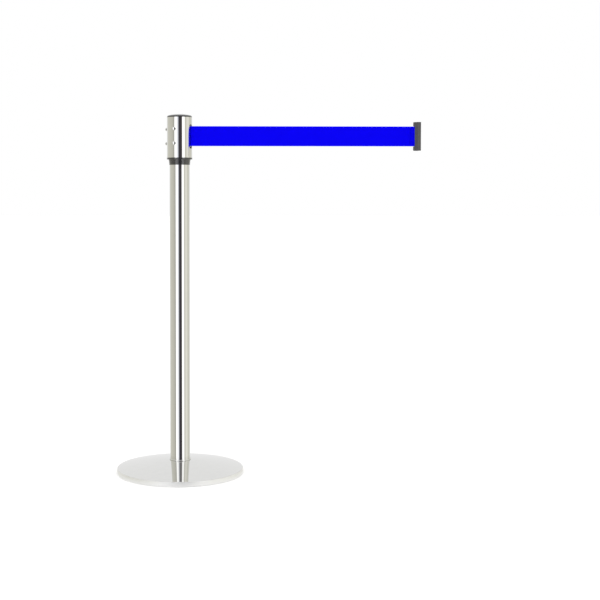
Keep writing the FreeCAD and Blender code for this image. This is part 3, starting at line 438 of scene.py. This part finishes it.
def add_stitch(points, faces, start, way, length, side):
    """One stitch: a thin thread that rises out of the webbing and sinks in again."""
    around = 8
    along = 7
    radius = 0.00019
    rise = 0.00012
    normal = np.array([-way[1], way[0]])
    surface = BELT_THICK + LAYER_GAP
    first = len(points)
    for i in range(along):
        share = i / (along - 1)
        centre = start + way * length * share
        arch = math.sin(math.pi * share)
        lift = surface + rise * (arch - 0.5)
        thick = radius * (0.55 + 0.45 * arch)
        for j in range(around):
            turn = 2 * math.pi * j / around
            flat = centre + normal * thick * math.cos(turn)
            out = side * (lift + thick * math.sin(turn))
            spot = PIN + ALONG * float(flat[0]) + ACROSS * float(out)
            points.append((spot.x, spot.y, float(flat[1])))
    for i in range(along - 1):
        for j in range(around):
            k = (j + 1) % around
            quad = (i * around + j, i * around + k, (i + 1) * around + k, (i + 1) * around + j)
            faces.append(tuple(first + number for number in (quad if side > 0 else quad[::-1])))
    caps = [tuple(range(around)), tuple((along - 1) * around + j for j in reversed(range(around)))]
    for cap in caps:
        cap = cap[::-1] if side > 0 else cap
        faces.append(tuple(first + number for number in cap))


stitches = stitching("seam_stitches")
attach(stitches, "belt_end")


# Stage: floor, a white surround that only the camera sees, light and camera


def floor_material():
    material, tree, shader = new_material("pale_floor")
    clouds = noise(tree, stretched_space(tree, (3, 3, 3)), 2.0)
    colour = two_colours(tree, clouds, (0.90, 0.90, 0.90), (0.93, 0.93, 0.93))
    tree.links.new(colour, shader.inputs["Base Color"])
    shader.inputs["Roughness"].default_value = 0.9
    shader.inputs["Specular IOR Level"].default_value = 0.1
    return material


def disc(name, radius, material, sides=96):
    turns = [2 * math.pi * i / sides for i in range(sides)]
    points = [(0, 0, 0)] + [(radius * math.cos(turn), radius * math.sin(turn), 0) for turn in turns]
    faces = [(0, 1 + i, 1 + (i + 1) % sides) for i in range(sides)]
    thing = link_mesh(name, points, faces, material)
    return thing


def show_to(thing, *kinds):
    """Leaves a stage piece visible to these kinds of ray only."""
    for kind in ("camera", "diffuse", "glossy", "transmission", "volume_scatter", "shadow"):
        setattr(thing, f"visible_{kind}", kind in kinds)


def glow_material(name, strength):
    material = bpy.data.materials.new(name)
    material.use_nodes = True
    tree = material.node_tree
    tree.nodes.clear()
    glow = add(tree, "ShaderNodeEmission", None, Color=(1, 1, 1, 1), Strength=strength)
    output = tree.nodes.new("ShaderNodeOutputMaterial")
    tree.links.new(glow.outputs[0], output.inputs[0])
    return material


def white_surround():
    """A far white shell that only the camera sees."""
    bpy.ops.mesh.primitive_uv_sphere_add(segments=32, ring_count=16, radius=30)
    shell = bpy.context.object
    shell.name = "white_surround"
    shell.data.materials.append(glow_material("white_surround", 1.0))
    show_to(shell, "camera")


# the floor isn't mirrored; the base's rim instead mirrors a small glowing disc close round it that only
# reflections see: a painted reflection of the floor
floor = disc("floor", 29.0, floor_material())
floor.visible_glossy = False
show_to(disc("floor_reflection_glow", 0.178, glow_material("floor_reflection_glow", 0.95)), "glossy")
white_surround()

# camera: in front of the post and square on to the belt, turned and tipped a little toward the
# middle of the picture; the lens shift takes up the rest, which keeps the post nearly upright
EYE_SIDE = 0.0459
EYE_BACK = 3.0328
EYE_HEIGHT = 0.7214
EYE_TURN = math.radians(2.013)
EYE_TIP = math.radians(2.441)
camera_data = bpy.data.cameras.new("camera")
camera_data.sensor_width = 36
camera_data.lens = 71.868
camera_data.shift_x = 0.1
camera_data.shift_y = -0.1
camera = bpy.data.objects.new("camera", camera_data)
bpy.context.scene.collection.objects.link(camera)
camera.location = ALONG * EYE_SIDE - ACROSS * EYE_BACK + UP * EYE_HEIGHT
level_look = ACROSS * math.cos(EYE_TURN) + ALONG * math.sin(EYE_TURN)
look = level_look * math.cos(EYE_TIP) - UP * math.sin(EYE_TIP)
camera.rotation_euler = look.to_track_quat("-Z", "Y").to_euler()
bpy.context.scene.camera = camera

# the room that the polished metal mirrors: soft white banks on both sides of a dark opening round
# the camera, pale walls, and a light ceiling; each wall has its bearing from the camera in degrees
ROOM_BEARING = math.atan2(camera.location.y, camera.location.x)
BANK = (1.45, 1.45, 1.45)
ROOM = [
    (-180, (0.86, 0.86, 0.86)),
    (-150, (0.86, 0.86, 0.85)),
    (-134, (0.68, 0.675, 0.60)),
    (-80, (0.60, 0.59, 0.515)),
    (-54, (0.50, 0.49, 0.435)),
    (-51, (0.26, 0.26, 0.23)),
    (-48.5, (0.26, 0.26, 0.23)),
    (-47, BANK),
    (-23, BANK),
    (-21, (0.95, 0.97, 1.05)),
    (-13, (0.60, 0.62, 0.68)),
    (-7, (0.055, 0.052, 0.062)),
    (15, (0.050, 0.045, 0.050)),
    (22, (0.22, 0.20, 0.20)),
    (26, BANK),
    (46, BANK),
    (48, (0.70, 0.69, 0.62)),
    (64, (0.68, 0.67, 0.59)),
    (68, (0.88, 0.87, 0.80)),
    (96, (0.84, 0.82, 0.73)),
    (100, (0.66, 0.65, 0.57)),
    (132, (0.70, 0.69, 0.62)),
    (150, (0.86, 0.86, 0.85)),
    (180, (0.86, 0.86, 0.86)),
]


def make_room():
    world = bpy.data.worlds.new("studio")
    bpy.context.scene.world = world
    world.use_nodes = True
    tree = world.node_tree
    tree.nodes.clear()
    way = add(tree, "ShaderNodeTexCoord").outputs["Generated"]
    parts = add(tree, "ShaderNodeSeparateXYZ", None, Vector=way)
    bearing = math_node(tree, "ARCTAN2", parts.outputs[1], parts.outputs[0])
    relative = math_node(tree, "SUBTRACT", bearing, ROOM_BEARING)
    turned = math_node(tree, "ADD", math_node(tree, "DIVIDE", relative, 2 * math.pi), 0.5)
    share = math_node(tree, "FRACT", turned)
    ramp = add(tree, "ShaderNodeValToRGB", None, Fac=share)
    marks = ramp.color_ramp.elements
    while len(marks) > 1:
        marks.remove(marks[-1])
    for number, (angle, colour) in enumerate(ROOM):
        place = angle / 360 + 0.5
        mark = marks[0] if number == 0 else marks.new(place)
        mark.position = place
        mark.color = (*colour, 1)
    lower = spread(tree, parts.outputs[2], 0.0, 0.2, 0.20, 0.42)
    upper = spread(tree, parts.outputs[2], 0.0, 0.8, 0.60, 0.68)
    height = math_node(tree, "ADD", lower, upper)
    ceiling = add(
        tree, "ShaderNodeMix", {"data_type": "RGBA"}, i0=height, i6=ramp.outputs[0], i7=(0.86, 0.86, 0.85, 1)
    )
    light = add(tree, "ShaderNodeBackground", None, Color=ceiling.outputs[2], Strength=1.0)
    output = tree.nodes.new("ShaderNodeOutputWorld")
    tree.links.new(light.outputs[0], output.inputs[0])


make_room()

sun_data = bpy.data.lights.new("overhead", "SUN")
sun_data.energy = 1.4
sun_data.angle = math.radians(90)
sun = bpy.data.objects.new("overhead", sun_data)
bpy.context.scene.collection.objects.link(sun)
sun.rotation_euler = (Vector((-0.15, 0.35, -1))).to_track_quat("-Z", "Y").to_euler()
sun.visible_glossy = False

bpy.context.scene.view_settings.view_transform = "Standard"
